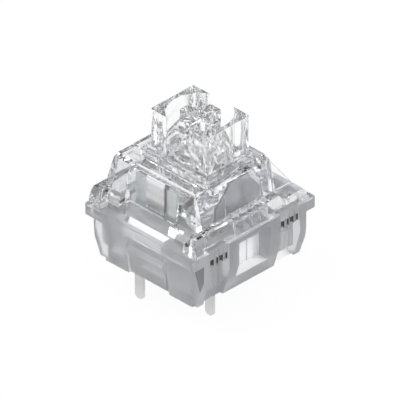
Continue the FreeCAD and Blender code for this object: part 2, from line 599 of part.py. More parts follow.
def leg_notches(low):
    """Two pairs of notches in the head of each leg, in the same order along Y on both legs of a side,
    with shallow upright grooves above them and down the leg's foot."""
    notches = []
    across, tall = (SKIRT_SIDE + " - leg_notch_depth", REACH), ("leg_head_foot - " + INTO, "leg_notch_top")
    leg_face = RECESS + " + leg_gap + leg_thickness"
    for leg, edge in (("near", "-(%s + leg_width)" % low), ("far", low)):
        for pair in (0, 1):
            wide = "%s + leg_notch_start + %d * leg_notch_pitch" % (edge, pair)
            for size, start in (("wide", wide), ("narrow", wide + " + leg_notch_offset")):
                notches.append(box("%s_%s_notch_%d" % (leg, size, pair + 1), across,
                                   (start, "%s + leg_notch_%s" % (start, size)), tall))
        for index in range(3):
            middle = "%s + leg_width / 2 + %d * leg_groove_pitch" % (edge, index - 1)
            along = (middle + " - leg_groove_width / 2", middle + " + leg_groove_width / 2")
            for part, face, low_z, high_z in (
                    ("head", SKIRT_SIDE, "leg_notch_top - " + INTO, FLANGE_TOP),
                    ("foot", leg_face, "leg_foot - " + INTO, "nub_top - nub_drop - leg_arm")):
                notches.append(box("%s_%s_groove_%d" % (leg, part, index + 1),
                                   (face + " - leg_groove_depth", REACH), along, (low_z, high_z)))
    return both_sides("leg_notches", fuse("leg_notch_set", *notches), X_AXIS)


def latch_legs():
    """Four loops that reach down into the lower housing and snap over its nubs, under notched heads."""
    low, inner = TAB + " + leg_gap", RECESS + " + leg_gap"
    leg = box("latch_leg", (inner, inner + " + leg_thickness"), (low, low + " + leg_width"),
              ("leg_foot", FLANGE_TOP + " + skirt_land"))
    window = box("leg_window", ("%s - %s" % (inner, PAST), "%s + leg_thickness + %s" % (inner, PAST)),
                 (low + " + leg_arm", low + " + leg_width - leg_arm"),
                 ("nub_top - nub_drop - leg_gap", "nub_top + leg_gap"))
    head = box("leg_head", (inner + " + leg_thickness", SKIRT_SIDE), (low, low + " + leg_width"),
               ("leg_head_foot", FLANGE_TOP + " + skirt_land"))
    legs = four_corners("latch_leg_set", fuse("latch_leg_with_head", cut("latch_loop", leg, window), head))
    return cut("notched_legs", legs, leg_notches(low))


def upper_inside():
    """The hollow under the roof, the opening for the stem and the openings on the outside."""
    half_top, half_foot = "(shoulder_width / 2 - wall_thickness)", "(base_width / 2 - wall_thickness)"
    front, back = "(shoulder_front - wall_thickness)", "(shoulder_back - back_wall)"
    low = "%s - %s" % (FLANGE_TOP, INTO)
    hollow = prism("upper_hollow", "XZ", ("-" + front, back), [
        ("-" + half_foot, low), (half_foot, low), (half_foot, "base_height"), (half_top, ROOF),
        ("-" + half_top, ROOF), ("-" + half_foot, "base_height")])
    opening = box("stem_opening", ("-stem_width / 2 - opening_gap", "stem_width / 2 + opening_gap"),
                  ("-stem_length / 2 - opening_gap", "stem_length / 2 + opening_gap"),
                  ("%s - %s" % (ROOF, INTO), "housing_top + " + INTO))
    front_recess = box("front_recess", ("-front_recess_width / 2", "front_recess_width / 2"),
                       ("-" + REACH, "-shoulder_front"), (low, "shoulder_height"))
    rim_gap = box("rim_gap", ("-rim_width / 2 - leg_gap", "rim_width / 2 + leg_gap"),
                  ("-" + REACH, "-%s + %s" % (front, INTO)),
                  (low, FLANGE_TOP + " + rim_height + shoulder_gap"))
    side_recess = box("side_recess", ("shoulder_width / 2 + side_recess_gap", REACH),
                      ("-side_recess_width / 2", "side_recess_width / 2"),
                      ("side_recess_foot", "shoulder_height"))
    light_slot = box("upper_light_slot", ("-light_slot_width / 2", "light_slot_width / 2"),
                     ("light_slot_start", "light_slot_start + light_slot_length"),
                     (low, "ledge_top + " + INTO))
    side_recesses = both_sides("side_recesses", side_recess, X_AXIS)
    pockets = []
    for index in range(4):
        start = "(%.1f * skirt_pocket_pitch - skirt_pocket_length / 2)" % (index - 1.5)
        pockets.append(box("skirt_pocket_%d" % (index + 1), ("skirt_pocket_start", "skirt_pocket_end"),
                           (start, start + " + skirt_pocket_length"), (low, "skirt_pocket_top")))
    skirt_pockets = both_sides("skirt_pockets", fuse("skirt_pocket_row", *pockets), X_AXIS)
    roof_step = box("roof_step", ("-" + REACH, REACH), ("-" + REACH, "-roof_step_start"),
                    ("housing_top - roof_step_depth", "housing_top + " + INTO))
    roof_panel = box("roof_panel", ("-roof_panel_width / 2", "roof_panel_width / 2"),
                     ("-roof_panel_end", "-roof_panel_start"),
                     ("housing_top - roof_step_depth - roof_panel_depth", "housing_top"))
    return (hollow, opening, front_recess, rim_gap, side_recesses, light_slot, skirt_pockets, roof_step,
            roof_panel)


def upper_housing():
    body = fuse("upper_solid", upper_body(), upper_skirt(), light_cheeks())
    return fuse("upper_housing", cut("upper_shell", body, *upper_inside()), latch_legs())


# Stem: two dust walls round a cross, a shoulder under the roof, a barrel over the spring, side rails,
# a long centre pole and two cam legs that work the contact leaf.

def keycap_cross():
    """The cross on its round foot, with chamfered top edges and a dimple in the middle."""
    half = "cross_span / 2"
    tall = (SHOULDER + " - " + INTO, "cross_top")
    bar_x = box("cross_bar_along_x", ("-" + half, half), ("-cross_bar_x / 2", "cross_bar_x / 2"), tall)
    bar_y = box("cross_bar_along_y", ("-cross_bar_y / 2", "cross_bar_y / 2"), ("-" + half, half), tall)
    top = value("cross_top")
    bars = eased("cross_eased", fuse("cross_bars", bar_x, bar_y), "cross_edge",
                 lambda edge: edge.BoundBox.ZMin > top - 0.001)
    dimple = cylinder("cross_dimple", "cross_dimple_radius",
                      ("cross_top - cross_dimple_depth", "cross_top + " + INTO))
    foot = cylinder("cross_foot", "cross_foot_radius", (SHOULDER + " - " + INTO, "cross_foot_top"))
    return fuse("keycap_cross", cut("cross_dimpled", bars, dimple), foot)


def cam_leg():
    lobe, relief, root = "-cam_lobe", "-cam_relief", "-barrel_length / 2 + " + INTO
    top = SHOULDER + " - shoulder_depth / 2"
    leg = prism("cam_leg", "YZ", ("cam_offset - cam_width / 2", "cam_offset + cam_width / 2"), [
        (root, "cam_foot"), (lobe + " + cam_tip", "cam_foot"), (lobe, "cam_foot + cam_tip"),
        (lobe, "cam_lobe_top"), (relief, "cam_lobe_top + cam_slope"), (relief, top), (root, top)])
    return both_sides("cam_legs", leg, X_AXIS)


def stem():
    shoulder_low = "(%s - shoulder_depth)" % SHOULDER
    head = box("stem_head", ("-stem_width / 2", "stem_width / 2"), ("-stem_length / 2", "stem_length / 2"),
               (shoulder_low, "wall_top"))
    head = eased("stem_head_eased", head, "wall_edge", upright)
    well = cylinder("stem_well", "well_radius", (SHOULDER, "wall_top + " + PAST))
    shoulder = box("stem_shoulder", ("-shoulder_span_x / 2", "shoulder_span_x / 2"),
                   ("-shoulder_span_y / 2", "shoulder_span_y / 2"), (shoulder_low, SHOULDER))
    joined = "%s + %s" % (shoulder_low, INTO)
    barrel = box("stem_barrel", ("-barrel_width / 2", "barrel_width / 2"),
                 ("-barrel_length / 2", "barrel_length / 2"), ("barrel_foot", joined))
    pocket = cylinder("spring_pocket", "spring_pocket_radius", ("barrel_foot - " + PAST, "spring_seat"))
    rail = box("stem_rail", ("barrel_width / 2 - " + INTO, "guide_wall_inner - rail_gap"),
               ("-rail_width / 2", "rail_width / 2"), ("rail_foot", joined))
    pole = cylinder("stem_pole", "pole_radius", ("pole_foot", "spring_seat + " + INTO))
    tip = value("pole_foot + " + INTO)
    pole = rounded("stem_pole_end", pole, "pole_rounding", lambda edge: edge.BoundBox.ZMax < tip)
    hollow = cut("stem_hollow", fuse("stem_block", head, shoulder, barrel), well, pocket)
    return fuse("stem", hollow, keycap_cross(), both_sides("stem_rails", rail, X_AXIS), cam_leg(), pole)


# Return spring: wire in a helix with closed, ground ends, on the collar and up in the stem's pocket.

def return_spring():
    wire, radius, turns = value("wire_radius"), value("coil_radius"), value("coil_turns")
    low, high = value("floor_thickness"), value("spring_seat")
    closed = 2 * wire
    middle = high - low - 2 * closed
    path = []
    for pitch, height, start in ((closed, closed, low), (middle / turns, middle, low + closed),
                                 (closed, closed, high - closed)):
        coil = Part.makeHelix(pitch, height, radius)
        turned = 0 if start <= low + closed else 360 * (turns % 1)
        coil.Placement = FreeCAD.Placement(FreeCAD.Vector(0, 0, start),
                                           FreeCAD.Rotation(FreeCAD.Vector(0, 0, 1), turned))
        path.extend(coil.Edges)
    flats = int(value("wire_flats"))
    corners = []
    for index in range(flats + 1):
        angle = 2 * math.pi * (index + 0.5) / flats
        corners.append(FreeCAD.Vector(radius + wire * math.cos(angle), 0, low + wire * math.sin(angle)))
    swept = Part.Wire(path).makePipeShell([Part.makePolygon(corners)], True, True)
    ground = Part.makeCylinder(radius + 2 * wire, high - low, FreeCAD.Vector(0, 0, low))
    spring = doc.addObject("Part::Feature", "return_spring")
    spring.Shape = swept.common(ground)
    spring.Placement = FreeCAD.Placement()
    return spring


# Terminals: folded sheet with flat solder pins; the leaf terminal carries a thin leaf folded over its top.

def solder_pin(name, x, y, top):
    """A flat pin with a rounded tip."""
    blade = box(name + "_blade", (x + " - pin_width / 2", x + " + pin_width / 2"),
                (y + " - sheet_thickness / 2", y + " + sheet_thickness / 2"), ("-pin_length", top))
    tip, across = value("-pin_length / 2"), value("sheet_thickness / 2")
    return rounded(name, blade, "pin_tip",
                   lambda edge: edge.BoundBox.YLength > across and edge.BoundBox.ZMax < tip)


def fixed_terminal():
    outer = "fixed_pin_x + pin_width / 2 + sheet_thickness"
    near, far = "fixed_pin_y + sheet_thickness / 2", "fixed_arm_y - sheet_thickness / 2"
    bend = prism("fixed_bend", "XY", ("fixed_arm_low", "fixed_rise"), [
        ("fixed_pin_x", near), ("fixed_pin_x", "fixed_pin_y - sheet_thickness / 2"),
        (outer + " - sheet_thickness", "fixed_pin_y - sheet_thickness / 2"),
        (outer + " - sheet_thickness", "fixed_arm_y + sheet_thickness / 2"),
        ("fixed_pin_x", "fixed_arm_y + sheet_thickness / 2"),
        ("fixed_pin_x", far), (outer, far), (outer, near)])
    arm = prism("fixed_arm", "XZ", (far, "fixed_arm_y + sheet_thickness / 2"), [
        (outer, "fixed_arm_low"), (outer, "fixed_rise"), ("fixed_pin_x", "fixed_arm_high"),
        ("fixed_arm_end", "fixed_head_high"), ("-fixed_arm_end", "fixed_head_high"),
        ("-fixed_arm_end", "fixed_head_low"), ("fixed_arm_end", "fixed_head_low"),
        ("fixed_arm_end + fixed_arm_taper", "fixed_arm_low")])
    pin = solder_pin("fixed_pin", "fixed_pin_x", "fixed_pin_y", "fixed_rise")
    return fuse("fixed_terminal", pin, bend, arm)


def leaf_terminal():
    left, right = "leaf_pin_x - pin_width / 2", "leaf_plate_right"
    near, far = "leaf_plate_y + sheet_thickness / 2", "leaf_plate_y - sheet_thickness / 2"
    low, high = "leaf_joggle", "leaf_joggle + leaf_joggle_rise"
    plate = box("leaf_plate", (left, right), (far, near), (high, "leaf_plate_top"))
    step = prism("leaf_step", "YZ", (left, left + " + pin_width"), [
        ("leaf_pin_y - sheet_thickness / 2", low), ("leaf_pin_y + sheet_thickness / 2", low), (near, high),
        (near, high + " + sheet_thickness"), (far, high + " + sheet_thickness"),
        ("leaf_pin_y - sheet_thickness / 2", low + " + sheet_thickness")])
    pin = solder_pin("leaf_pin", "leaf_pin_x", "leaf_pin_y", "%s + %s" % (low, INTO))
    return fuse("leaf_terminal", pin, step, plate)


def contact_leaf():
    left, right = "leaf_middle - leaf_width / 2", "leaf_middle + leaf_width / 2"
    skin = "leaf_thickness / 2"
    outer, inner = "leaf_plate_y - leaf_fold_radius", "leaf_plate_y + leaf_fold_radius"
    tube = cylinder("fold_outside", "leaf_fold_radius + " + skin, (left, right))
    core = cylinder("fold_inside", "leaf_fold_radius - " + skin, (left, right))
    for roll in (tube, core):
        roll.Placement.Rotation = FreeCAD.Rotation(FreeCAD.Vector(0, 1, 0), 90)
        place(roll, left, "leaf_plate_y", "leaf_fold_height")
    below = box("fold_below", ("-" + REACH, REACH), ("-" + REACH, REACH), ("0", "leaf_fold_height"))
    fold = cut("leaf_fold", tube, core, below)
    leg = box("leaf_outer_leg", (left, right), ("%s - %s" % (outer, skin), "%s + %s" % (outer, skin)),
              ("leaf_outer_foot", "leaf_fold_height"))
    neck = box("leaf_neck", (left, right), ("%s - %s" % (inner, skin), "%s + %s" % (inner, skin)),
               ("ear_high", "leaf_fold_height"))
    span = "cam_offset + " + skin
    arm_y = ("%s - %s" % (inner, skin), "%s + %s" % (inner, skin))
    yoke = box("leaf_yoke", ("-(%s)" % span, span), arm_y, ("ear_low", "ear_high"))
    tongue = box("leaf_tongue", ("-contact_length", "contact_length"), arm_y, ("leaf_arm_foot", "ear_low"))
    ear = box("leaf_ear", ("cam_offset - " + skin, "cam_offset + " + skin),
              ("%s - %s" % (inner, skin), "-cam_lobe - ear_gap"), ("ear_low", "ear_high"))
    return fuse("contact_leaf", fold, leg, neck, yoke, tongue, both_sides("leaf_ears", ear, X_AXIS))


def contact_bars():
    half, edge = "contact_size / 2", "contact_length / 2"
    fixed_face = "fixed_arm_y - sheet_thickness / 2"
    leaf_face = "leaf_plate_y + leaf_fold_radius + leaf_thickness / 2"
    fixed_bar = box("fixed_contact_bar", ("-" + half, half), (fixed_face + " - contact_size", fixed_face),
                    ("contact_height - " + edge, "contact_height + " + edge))
    moving_bar = box("moving_contact_bar", ("-" + edge, edge), (leaf_face, leaf_face + " + contact_size"),
                     ("contact_height - " + half, "contact_height + " + half))
    return [fixed_bar, moving_bar]


pieces = [lower_housing(), upper_housing(), stem(), return_spring(), fixed_terminal(), leaf_terminal(),
          contact_leaf()] + contact_bars()
for piece in pieces:
    piece.Label = piece.Name
doc.recompute()

for item in doc.Objects:
    if "Invalid" in item.State or "Error" in item.State:
        raise RuntimeError("%s failed to build" % item.Name)
for piece in pieces:
    if piece.Shape.isNull() or not piece.Shape.isValid() or not piece.Shape.Solids:
        raise RuntimeError("%s has no sound solid" % piece.Label)

os.makedirs("parts", exist_ok=True)
for piece in pieces:
    piece.Shape.exportStep("parts/%s.step" % piece.Label)
    print(piece.Label, len(piece.Shape.Solids), "solid(s), volume %.2f" % piece.Shape.Volume)
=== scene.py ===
import math

import bmesh
import bpy
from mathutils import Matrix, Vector


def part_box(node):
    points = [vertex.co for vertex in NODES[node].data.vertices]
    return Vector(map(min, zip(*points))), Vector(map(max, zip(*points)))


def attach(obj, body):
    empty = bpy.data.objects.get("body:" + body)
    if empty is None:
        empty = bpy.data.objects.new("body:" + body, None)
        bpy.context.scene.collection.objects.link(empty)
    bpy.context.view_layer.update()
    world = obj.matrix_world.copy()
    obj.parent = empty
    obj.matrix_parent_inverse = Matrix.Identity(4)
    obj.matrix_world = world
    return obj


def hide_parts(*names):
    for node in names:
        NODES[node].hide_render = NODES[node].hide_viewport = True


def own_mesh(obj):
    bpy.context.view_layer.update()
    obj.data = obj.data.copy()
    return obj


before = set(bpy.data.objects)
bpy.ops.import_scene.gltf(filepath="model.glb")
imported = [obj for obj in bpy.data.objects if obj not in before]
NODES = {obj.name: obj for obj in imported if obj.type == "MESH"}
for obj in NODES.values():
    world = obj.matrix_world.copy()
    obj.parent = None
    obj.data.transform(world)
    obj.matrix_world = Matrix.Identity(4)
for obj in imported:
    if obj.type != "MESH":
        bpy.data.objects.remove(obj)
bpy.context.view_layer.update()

MM = 0.001
SCENE = bpy.context.scene

# Camera: orthographic, seen from one corner, aimed at a point on the switch's axis.
CAMERA_AZIMUTH = 45.0
CAMERA_ELEVATION = 33.2
CAMERA_AIM = Vector((0, 0, 6.0)) * MM
CAMERA_WIDTH = 35.87 * MM
CAMERA_DISTANCE = 0.5
CAMERA_NEAREST = 0.01
CAMERA_FARTHEST = 5.0

# Square lamps: azimuth and elevation in degrees, side in metres and power in watts.
LAMPS = {"key": (-20, 55, 0.16, 0.35), "fill": (110, 40, 0.12, 0.26)}
LAMP_DISTANCE = 0.25

# Studio: how fine its soft patches are, how bright each level of their pattern is, half the side of the
# floor, the floor's paint, and the share of plain white in what the floor shows.
PATCH_SCALE = 2.6
ROOM_LIGHT = [(0.0, 0.3), (0.38, 0.38), (0.45, 0.7), (0.53, 0.95), (0.62, 1.0)]
FLOOR_HALF = 0.6
FLOOR_PAINT = (0.9, 0.9, 0.9, 1)
FLOOR_GLOW = 0.95
WHITE = (1, 1, 1, 1)

# Surfaces: the lowest and highest share of a material's roughness, the levels of a pattern that are fully
# dark and fully light, the depth of a plastic's grain as a share of its size, the size of a frosted grain
# and of the slow changes of tint, and the grain and tint of metal.
PLASTIC_SWING = (0.7, 1.3)
METAL_SWING = (0.7, 1.4)
TINT_DARK = 0.3
TINT_LIGHT = 0.7
GRAIN_DEPTH = 0.05
FROSTED_GRAIN = 0.08 * MM
FLOW_SIZE = 2.5 * MM
METAL_GRAIN_SCALE = 9000.0
METAL_GRAIN = 0.15
METAL_GRAIN_DEPTH = 0.005 * MM
METAL_TINT = 0.12

# Moulded pieces: their edge rounding, how far their faces draw back so that no two coincide, how close two
# corners are joined, and how flat a joint between two faces is before it goes.
EDGE_WIDTH = 0.07 * MM
EDGE_SEGMENTS = 2
EDGE_ANGLE = math.radians(25)
FLAT_ANGLE = math.radians(0.1)
FLAT_WEIGHT = 100
DRAW_BACK = 0.006 * MM
MERGE_REACH = 0.002 * MM
CUT_REACH = 1e-8

# Planes that cut the faces running round an opening: a normal, and a distance in millimetres.
MIDDLE = (((1, 0, 0), 0), ((0, 1, 0), 0))
LEG_WINDOWS = (((0, 1, 0), -4.48), ((0, 1, 0), 4.48))

# The leaf terminal's right edge in the photo, and how close to the edge a corner moves with it.
PLATE_RIGHT = 2.15 * MM
PLATE_REACH = 0.01 * MM

# Return spring: round wire with a closed turn at each end.
WIRE_RADIUS = 0.12 * MM
WIRE_SMOOTHNESS = 4
SPRING_TURNS = 9.5
CLOSED_TURNS = 1.0
STEPS_PER_TURN = 40

# Clear plastic in front of clear plastic needs many bounces, or it turns black.
CLEAR_BOUNCES = 40
GLOSSY_BOUNCES = 20


def add_object(name, data):
    added = bpy.data.objects.new(name, data)
    SCENE.collection.objects.link(added)
    return added


def aim_from(looker, azimuth, elevation, distance):
    """Sets a camera or a lamp in one direction of the switch, looking at it."""
    turn = math.radians(azimuth)
    rise = math.radians(elevation)
    back = Vector((math.sin(turn) * math.cos(rise), -math.cos(turn) * math.cos(rise), math.sin(rise)))
    looker.location = CAMERA_AIM + back * distance
    looker.rotation_euler = (-back).to_track_quat("-Z", "Y").to_euler()


def make_camera():
    data = bpy.data.cameras.new("camera")
    data.type = "ORTHO"
    data.ortho_scale = CAMERA_WIDTH
    data.clip_start = CAMERA_NEAREST
    data.clip_end = CAMERA_FARTHEST
    camera = add_object("camera", data)
    aim_from(camera, CAMERA_AZIMUTH, CAMERA_ELEVATION, CAMERA_DISTANCE)
    SCENE.camera = camera


def make_lamp(name, azimuth, elevation, size, power):
    data = bpy.data.lights.new(name, "AREA")
    data.size = size
    data.energy = power
    aim_from(add_object(name, data), azimuth, elevation, LAMP_DISTANCE)


# Node helpers.

def node_tree(owner):
    owner.use_nodes = True
    tree = owner.node_tree
    tree.nodes.clear()
    return tree


def add(tree, kind, **sockets):
    node = tree.nodes.new(kind)
    for name, value in sockets.items():
        node.inputs[name.replace("_", " ")].default_value = value
    return node


def link(tree, source, output, target, socket):
    tree.links.new(source.outputs[output], target.inputs[socket])


def ramp(tree, stops):
    node = tree.nodes.new("ShaderNodeValToRGB")
    elements = node.color_ramp.elements
    # A new stop may start anywhere, because every stop gets its own position below.
    while len(elements) < len(stops):
        elements.new(0.5)
    for element, (position, colour) in zip(elements, stops):
        element.position = position
        element.color = (*colour, 1)
    return node


def either_ray(tree, first, first_output, second, second_output):
    """One where either of two light path values is one."""
    node = tree.nodes.new("ShaderNodeMath")
    node.operation = "MAXIMUM"
    link(tree, first, first_output, node, 0)
    link(tree, second, second_output, node, 1)
    return node


# World: white where the camera looks, and a studio with soft light and dark gaps for everything else.

def make_world():
    world = bpy.data.worlds.new("studio")
    SCENE.world = world
    tree = node_tree(world)
    output = tree.nodes.new("ShaderNodeOutputWorld")
    seen = add(tree, "ShaderNodeBackground", Color=WHITE, Strength=1.0)
    room = add(tree, "ShaderNodeBackground", Strength=1.0)
    mix = tree.nodes.new("ShaderNodeMixShader")
    path = tree.nodes.new("ShaderNodeLightPath")
    place = tree.nodes.new("ShaderNodeTexCoord")
    patches = add(tree, "ShaderNodeTexNoise", Scale=PATCH_SCALE, Detail=1.0)
    light = ramp(tree, [(position, (level, level, level)) for position, level in ROOM_LIGHT])
    link(tree, place, "Generated", patches, "Vector")
    link(tree, patches, "Fac", light, "Fac")
    link(tree, light, "Color", room, "Color")
    link(tree, path, "Is Camera Ray", mix, "Fac")
    link(tree, room, "Background", mix, 1)
    link(tree, seen, "Background", mix, 2)
    link(tree, mix, "Shader", output, "Surface")


def make_floor():
    """White where it is seen, mirrored or looked at through plastic, and painted for all other light."""
    low = min(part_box(name)[0].z for name in NODES)
    corners = [(x * FLOOR_HALF, y * FLOOR_HALF, low) for x, y in ((-1, -1), (1, -1), (1, 1), (-1, 1))]
    mesh = bpy.data.meshes.new("floor")
    mesh.from_pydata(corners, [], [(0, 1, 2, 3)])
    floor = add_object("floor", mesh)
    material = bpy.data.materials.new("floor")
    tree = node_tree(material)
    output = tree.nodes.new("ShaderNodeOutputMaterial")
    white = add(tree, "ShaderNodeEmission", Color=WHITE, Strength=1.0)
    paint = add(tree, "ShaderNodeBsdfDiffuse", Color=FLOOR_PAINT)
    mix = tree.nodes.new("ShaderNodeMixShader")
    path = tree.nodes.new("ShaderNodeLightPath")
    mirrored = either_ray(tree, path, "Is Camera Ray", path, "Is Glossy Ray")
    through = either_ray(tree, mirrored, 0, path, "Is Transmission Ray")
    share = tree.nodes.new("ShaderNodeMath")
    share.operation = "MULTIPLY"
    share.inputs[1].default_value = FLOOR_GLOW
    link(tree, through, 0, share, 0)
    link(tree, share, 0, mix, "Fac")
    link(tree, paint, "BSDF", mix, 1)
    link(tree, white, "Emission", mix, 2)
    link(tree, mix, "Shader", output, "Surface")
    mesh.materials.append(material)


# Materials.

def tinted(tree, colour, spread):
    """The colour, a little darker where the pattern is low."""
    darker = [channel * (1 - spread) for channel in colour]
    return ramp(tree, [(TINT_DARK, darker), (TINT_LIGHT, colour)])


def grained(tree, shader, noise, lowest, highest, strength, depth):
    """Lets a grain move the shader's roughness and its normals, and shows the shader."""
    output = tree.nodes.new("ShaderNodeOutputMaterial")
    level = add(tree, "ShaderNodeMapRange", To_Min=lowest, To_Max=highest)
    bump = add(tree, "ShaderNodeBump", Strength=strength, Distance=depth)
    link(tree, noise, "Fac", level, "Value")
    link(tree, level, "Result", shader, "Roughness")
    link(tree, noise, "Fac", bump, "Height")
    link(tree, bump, "Normal", shader, "Normal")
    link(tree, shader, "BSDF", output, "Surface")


def plastic(name, colour, roughness, transmission, grain, grain_size, ior=1.5, cloud=0.05):
    """Moulded plastic with a fine grain, and a tint that changes slowly with the flow."""
    material = bpy.data.materials.new(name)
    tree = node_tree(material)
    shader = add(tree, "ShaderNodeBsdfPrincipled", Base_Color=(*colour, 1), IOR=ior,
                 Transmission_Weight=transmission)
    place = tree.nodes.new("ShaderNodeTexCoord")
    noise = add(tree, "ShaderNodeTexNoise", Scale=1 / grain_size, Detail=3.0, Roughness=0.6)
    flow = add(tree, "ShaderNodeTexNoise", Scale=1 / FLOW_SIZE, Detail=1.0)
    tint = tinted(tree, colour, cloud)
    link(tree, place, "Object", flow, "Vector")
    link(tree, flow, "Fac", tint, "Fac")
    link(tree, tint, "Color", shader, "Base Color")
    link(tree, place, "Object", noise, "Vector")
    lowest, highest = [roughness * share for share in PLASTIC_SWING]
    grained(tree, shader, noise, lowest, highest, grain, grain_size * GRAIN_DEPTH)
    return material


def painted_by_height(tree, place, painted_bands):
    """Painted light and shade by height in millimetres, one colour fading into the next."""
    low = painted_bands[0][0]
    high = painted_bands[-1][0]
    split = tree.nodes.new("ShaderNodeSeparateXYZ")
    height = add(tree, "ShaderNodeMapRange", From_Min=low * MM, From_Max=high * MM)
    tints_and_painted_light = ramp(tree, [((z - low) / (high - low), tint) for z, tint in painted_bands])
    link(tree, place, "Object", split, "Vector")
    link(tree, split, "Z", height, "Value")
    link(tree, height, "Result", tints_and_painted_light, "Fac")
    return tints_and_painted_light


def metal(name, colour, roughness, stretch, painted_bands=None):
    """Rolled sheet or drawn wire: a grain stretched along one direction. Painted bands give a bent sheet
    painted light and shade by height, and its plain colour is then for viewers that show no nodes."""
    material = bpy.data.materials.new(name)
    tree = node_tree(material)
    shader = add(tree, "ShaderNodeBsdfPrincipled", Base_Color=(*colour, 1), Metallic=1.0)
    place = tree.nodes.new("ShaderNodeTexCoord")
    mapping = add(tree, "ShaderNodeMapping", Scale=stretch)
    noise = add(tree, "ShaderNodeTexNoise", Scale=METAL_GRAIN_SCALE, Detail=2.0)
    if painted_bands:
        tints_and_painted_light = painted_by_height(tree, place, painted_bands)
    else:
        tints_and_painted_light = tinted(tree, colour, METAL_TINT)
        link(tree, noise, "Fac", tints_and_painted_light, "Fac")
    link(tree, tints_and_painted_light, "Color", shader, "Base Color")
    link(tree, place, "Object", mapping, "Vector")
    link(tree, mapping, "Vector", noise, "Vector")
    lowest, highest = [roughness * share for share in METAL_SWING]
    grained(tree, shader, noise, lowest, highest, METAL_GRAIN, METAL_GRAIN_DEPTH)
    return material


CLEAR = plastic("clear_polycarbonate", (0.93, 0.94, 0.955), roughness=0.01, transmission=1.0,
                grain=0.004, grain_size=1.2 * MM, ior=1.54, cloud=0.015)
SKIRT_CLEAR = plastic("satin_polycarbonate", (0.84, 0.85, 0.87), roughness=0.12, transmission=0.97,
                      grain=0.02, grain_size=0.3 * MM, ior=1.54)
STEM_CLEAR = plastic("clear_stem", (0.99, 0.99, 0.99), roughness=0.01, transmission=1.0,
                     grain=0.004, grain_size=1.0 * MM, ior=1.48, cloud=0.01)
LEG_CLEAR = plastic("ribbed_polycarbonate", (0.95, 0.955, 0.965), roughness=0.34, transmission=0.9,
                    grain=0.02, grain_size=0.3 * MM)
# Painted shade: near-black matt plastic for the bottoms of the leg notches, standing in for the shade in the
# gaps there.
NOTCH_PAINTED_SHADE = plastic("notch_painted_shade", (0.10, 0.10, 0.11), roughness=0.9, transmission=0.0,
                grain=0.05, grain_size=0.1 * MM)
FROSTED = plastic("frosted_polycarbonate", (0.83, 0.84, 0.865), roughness=0.33, transmission=0.9,
                  grain=0.3, grain_size=FROSTED_GRAIN)
# Painted light: a lighter, nearly opaque copy of the frosted plastic, for walls seen through the windows that
# light makes bright.
WALL_PAINTED_LIGHT = plastic("frosted_wall_painted_light", (0.86, 0.86, 0.88), roughness=0.45, transmission=0.1,
               grain=0.1, grain_size=FROSTED_GRAIN)
# Painted light: an opaque near-white copy of the frosted plastic, for faces that light from above makes
# bright.
PAINTED_LIGHT_FROSTED = plastic("frosted_painted_light", (0.97, 0.97, 0.975), roughness=0.45, transmission=0.0,
               grain=0.1, grain_size=FROSTED_GRAIN)
# Painted shade: a dark copy of the frosted plastic for the corner chamfers, where the flange's shadow falls.
FROSTED_PAINTED_SHADE = plastic("frosted_painted_shade", (0.20, 0.20, 0.21), roughness=0.4, transmission=0.4,
                        grain=0.2, grain_size=FROSTED_GRAIN)

# Painted shade and painted light on the terminals' sheet metal by height: darker low down and lighter towards
# the top.
SHEET_PAINTED_LIGHT = [(-3.3, (0.70, 0.69, 0.70)), (-1.5, (0.60, 0.60, 0.60)), (2.0, (0.66, 0.66, 0.66)),
               (4.5, (0.80, 0.82, 0.81))]
# Painted reflections and painted shade on the contact leaf by height: dark and bright stripes, with a white
# painted highlight at its top.
LEAF_PAINTED_REFLECTIONS = [(7.6, (0.52, 0.51, 0.49)), (8.0, (0.62, 0.61, 0.58)), (8.4, (0.92, 0.90, 0.86)),
              (8.9, (0.70, 0.69, 0.67)), (9.4, (0.78, 0.77, 0.76)), (9.8, (0.72, 0.72, 0.72)),
              (10.1, (1.0, 1.0, 1.0))]
SHEET_METAL = metal("tinned_sheet", (0.66, 0.655, 0.67), roughness=0.42, stretch=(1, 1, 0.08),
                    painted_bands=SHEET_PAINTED_LIGHT)
LEAF_METAL = metal("leaf_bronze", (0.80, 0.78, 0.74), roughness=0.22, stretch=(0.1, 1, 1),
                   painted_bands=LEAF_PAINTED_REFLECTIONS)
SPRING_METAL = metal("spring_steel", (0.75, 0.75, 0.76), roughness=0.2, stretch=(1, 1, 1))
GOLD = metal("contact_gold", (0.93, 0.78, 0.45), roughness=0.22, stretch=(1, 1, 1))

# Faces that take another material than the rest of their piece: a face takes it where each named measure
# lies between its two numbers. Of the face's middle, in millimetres, aside is |x|, along is |y|, behind is
# y and height is z. Of its normal, facing_x, facing_y and facing_z are |x|, |y| and |z|, and upward is z.
FAR = math.inf
COVER_ACCENTS = [
    # The skirt above the latch legs, the legs, and the bottoms of their notches, which are painted near-black
    # as painted shade.
    (SKIRT_CLEAR, {"aside": (5.6, FAR), "height": (5.98, 7.4)}),
    (LEG_CLEAR, {"aside": (5.4, FAR), "height": (-FAR, 5.98)}),
    (NOTCH_PAINTED_SHADE, {"aside": (6.5, 6.84), "height": (4.5, 5.05)}),
]
